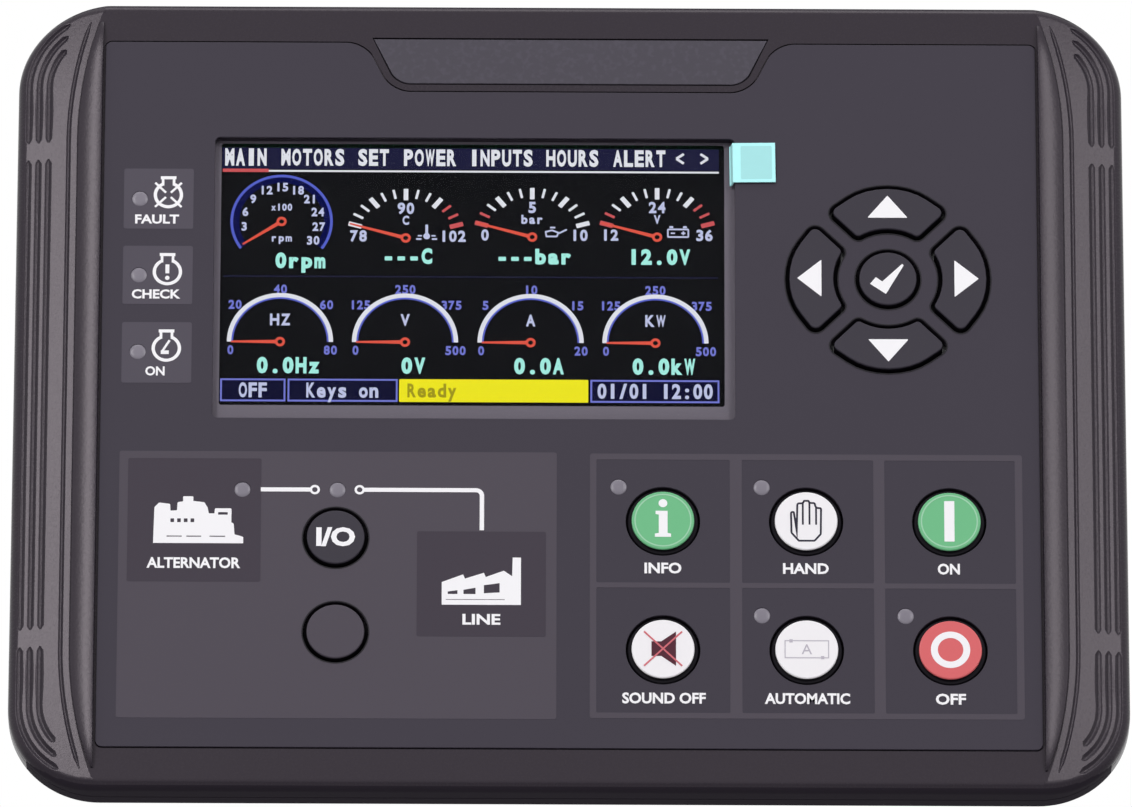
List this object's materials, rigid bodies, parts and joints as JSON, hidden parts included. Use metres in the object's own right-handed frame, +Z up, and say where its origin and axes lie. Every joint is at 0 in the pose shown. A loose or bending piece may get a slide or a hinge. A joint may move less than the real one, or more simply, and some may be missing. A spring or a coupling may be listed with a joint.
{
  "type": "generator controller",
  "caption": "Panel-mount generator set controller with a colour screen, direction pad, round push keys and lamp windows on a closed rear housing.",
  "frame": {"origin": "centre of the panel cut-out, on the front face of the panel that the controller is fixed to, where the gasket's back rests", "axes": "+X to the user's right along the front's width, +Y back through the panel, +Z up"},
  "size_m": [0.242, 0.0478, 0.186],
  "materials": {
    "moulding": "satin dark grey-purple moulding",
    "overlay_print": "fine matt printed sheet",
    "key_rubber": "smooth silicone",
    "green_key": "green cap",
    "white_key": "white cap",
    "red_key": "red cap",
    "lamp_lens": "smoked lens, unlit",
    "clear_window": "clear window",
    "protective_film": "clear film",
    "teal_tab": "teal film",
    "screen_glass": "lit display",
    "backlight_frame": "white frame",
    "mat_rubber": "silicone sheet",
    "board_laminate": "green laminate",
    "gasket_foam": "closed-cell foam",
    "housing_plastic": "fine-textured black moulding",
    "zinc_plated": "zinc plated",
    "terminal_plastic": "green terminal moulding",
    "socket_shell": "plated shell",
    "ribbon_grey": "flat cable jacket"
  },
  "bodies": {
    "housing": {"front_bezel": "moulding", "face_overlay": "overlay_print", "name_plate": "overlay_print", "display_window": "clear_window", "screen_film": "protective_film", "film_pull_tab": "teal_tab", "lcd_panel": "screen_glass", "lcd_backlight": "backlight_frame", "keypad_mat": "mat_rubber", "front_board": "board_laminate", "panel_gasket": "gasket_foam", "rear_cover": "housing_plastic", "main_board": "board_laminate", "lamp_alarm": "lamp_lens", "lamp_warning": "lamp_lens", "lamp_running": "lamp_lens", "lamp_generator": "lamp_lens", "lamp_contactor": "lamp_lens", "lamp_info": "lamp_lens", "lamp_manual": "lamp_lens", "lamp_auto": "lamp_lens", "lamp_stop": "lamp_lens", "cover_screw_1": "zinc_plated", "cover_screw_2": "zinc_plated", "cover_screw_3": "zinc_plated", "cover_screw_4": "zinc_plated", "mounting_clip_1": "zinc_plated", "mounting_clip_2": "zinc_plated", "mounting_clip_3": "zinc_plated", "mounting_clip_4": "zinc_plated", "clip_screw_1": "zinc_plated", "clip_screw_2": "zinc_plated", "clip_screw_3": "zinc_plated", "clip_screw_4": "zinc_plated", "terminal_header_1": "terminal_plastic", "terminal_header_2": "terminal_plastic", "terminal_header_3": "terminal_plastic", "terminal_header_4": "terminal_plastic", "terminal_plug_1": "terminal_plastic", "terminal_plug_2": "terminal_plastic", "terminal_plug_3": "terminal_plastic", "terminal_plug_4": "terminal_plastic", "usb_port": "socket_shell", "network_port": "socket_shell", "ribbon_cable": "ribbon_grey", "clock_battery": "zinc_plated"},
    "up_key": {"key_up": "key_rubber"},
    "left_key": {"key_left": "key_rubber"},
    "down_key": {"key_down": "key_rubber"},
    "right_key": {"key_right": "key_rubber"},
    "enter_key": {"key_enter": "key_rubber"},
    "changeover_key": {"key_changeover": "key_rubber"},
    "blank_key": {"key_blank": "key_rubber"},
    "info_key": {"key_info": "green_key"},
    "manual_key": {"key_manual": "white_key"},
    "start_key": {"key_start": "green_key"},
    "mute_key": {"key_mute": "white_key"},
    "auto_key": {"key_auto": "white_key"},
    "stop_key": {"key_stop": "red_key"}
  },
  "joints": [
    {"name": "up_press", "type": "slide", "parent": "housing", "child": "up_key", "axis": [0, 1, 0], "range_m": [0, 0.001], "stiffness_N_per_m": 2000, "springref_m": -0.0003},
    {"name": "left_press", "type": "slide", "parent": "housing", "child": "left_key", "axis": [0, 1, 0], "range_m": [0, 0.001], "stiffness_N_per_m": 2000, "springref_m": -0.0003},
    {"name": "down_press", "type": "slide", "parent": "housing", "child": "down_key", "axis": [0, 1, 0], "range_m": [0, 0.001], "stiffness_N_per_m": 2000, "springref_m": -0.0003},
    {"name": "right_press", "type": "slide", "parent": "housing", "child": "right_key", "axis": [0, 1, 0], "range_m": [0, 0.001], "stiffness_N_per_m": 2000, "springref_m": -0.0003},
    {"name": "enter_press", "type": "slide", "parent": "housing", "child": "enter_key", "axis": [0, 1, 0], "range_m": [0, 0.001], "stiffness_N_per_m": 2000, "springref_m": -0.0003},
    {"name": "changeover_press", "type": "slide", "parent": "housing", "child": "changeover_key", "axis": [0, 1, 0], "range_m": [0, 0.001], "stiffness_N_per_m": 2000, "springref_m": -0.0003},
    {"name": "blank_press", "type": "slide", "parent": "housing", "child": "blank_key", "axis": [0, 1, 0], "range_m": [0, 0.001], "stiffness_N_per_m": 2000, "springref_m": -0.0003},
    {"name": "info_press", "type": "slide", "parent": "housing", "child": "info_key", "axis": [0, 1, 0], "range_m": [0, 0.001], "stiffness_N_per_m": 2000, "springref_m": -0.0003},
    {"name": "manual_press", "type": "slide", "parent": "housing", "child": "manual_key", "axis": [0, 1, 0], "range_m": [0, 0.001], "stiffness_N_per_m": 2000, "springref_m": -0.0003},
    {"name": "start_press", "type": "slide", "parent": "housing", "child": "start_key", "axis": [0, 1, 0], "range_m": [0, 0.001], "stiffness_N_per_m": 2000, "springref_m": -0.0003},
    {"name": "mute_press", "type": "slide", "parent": "housing", "child": "mute_key", "axis": [0, 1, 0], "range_m": [0, 0.001], "stiffness_N_per_m": 2000, "springref_m": -0.0003},
    {"name": "auto_press", "type": "slide", "parent": "housing", "child": "auto_key", "axis": [0, 1, 0], "range_m": [0, 0.001], "stiffness_N_per_m": 2000, "springref_m": -0.0003},
    {"name": "stop_press", "type": "slide", "parent": "housing", "child": "stop_key", "axis": [0, 1, 0], "range_m": [0, 0.001], "stiffness_N_per_m": 2000, "springref_m": -0.0003}
  ]
}
